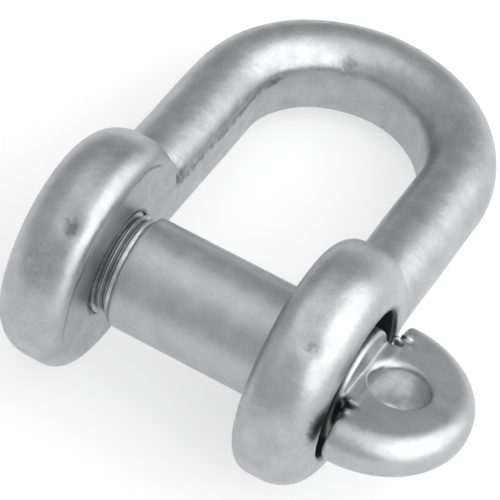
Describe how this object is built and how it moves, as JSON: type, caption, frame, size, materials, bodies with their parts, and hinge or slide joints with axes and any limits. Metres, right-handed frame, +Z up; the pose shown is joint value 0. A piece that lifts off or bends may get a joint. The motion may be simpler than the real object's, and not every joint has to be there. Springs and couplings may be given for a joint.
{
  "type": "screw pin shackle",
  "caption": "Forged stainless D-shaped shackle with straight legs, a half-round crown, thick round eyes and a screw pin with a flat holed eye.",
  "frame": {"origin": "on the pin axis, midway between the two eyes", "axes": "+X along the pin towards its flat eye, +Y level from the pin to the crown, +Z up, with the shackle lying on a level surface on both eyes and the crown"},
  "size_m": [0.0592, 0.0737, 0.032],
  "materials": {
    "forged_steel": "tumbled satin stainless steel, with soft broad highlights",
    "pin_steel": "polished stainless steel shank and flat eye",
    "thread_steel": "bright cut thread with dark roots"
  },
  "bodies": {
    "root": {"shackle_body": "forged_steel"},
    "pin_slider": {"pin_shank": "pin_steel"},
    "pin_screw": {"pin_thread": "thread_steel", "pin_eye": "pin_steel"}
  },
  "joints": [
    {"name": "pin_travel", "type": "slide", "parent": "root", "child": "pin_slider", "axis": [1, 0, 0], "range_m": [-0.0012, 0.044]},
    {"name": "pin_turn", "type": "hinge", "parent": "pin_slider", "child": "pin_screw", "pos_m": [0, 0, 0], "axis": [1, 0, 0], "range_deg": [-432, 15840]}
  ],
  "couplings": [
    {"joint": "pin_turn", "follows": "pin_travel", "rad_per_m": 6283.2}
  ]
}
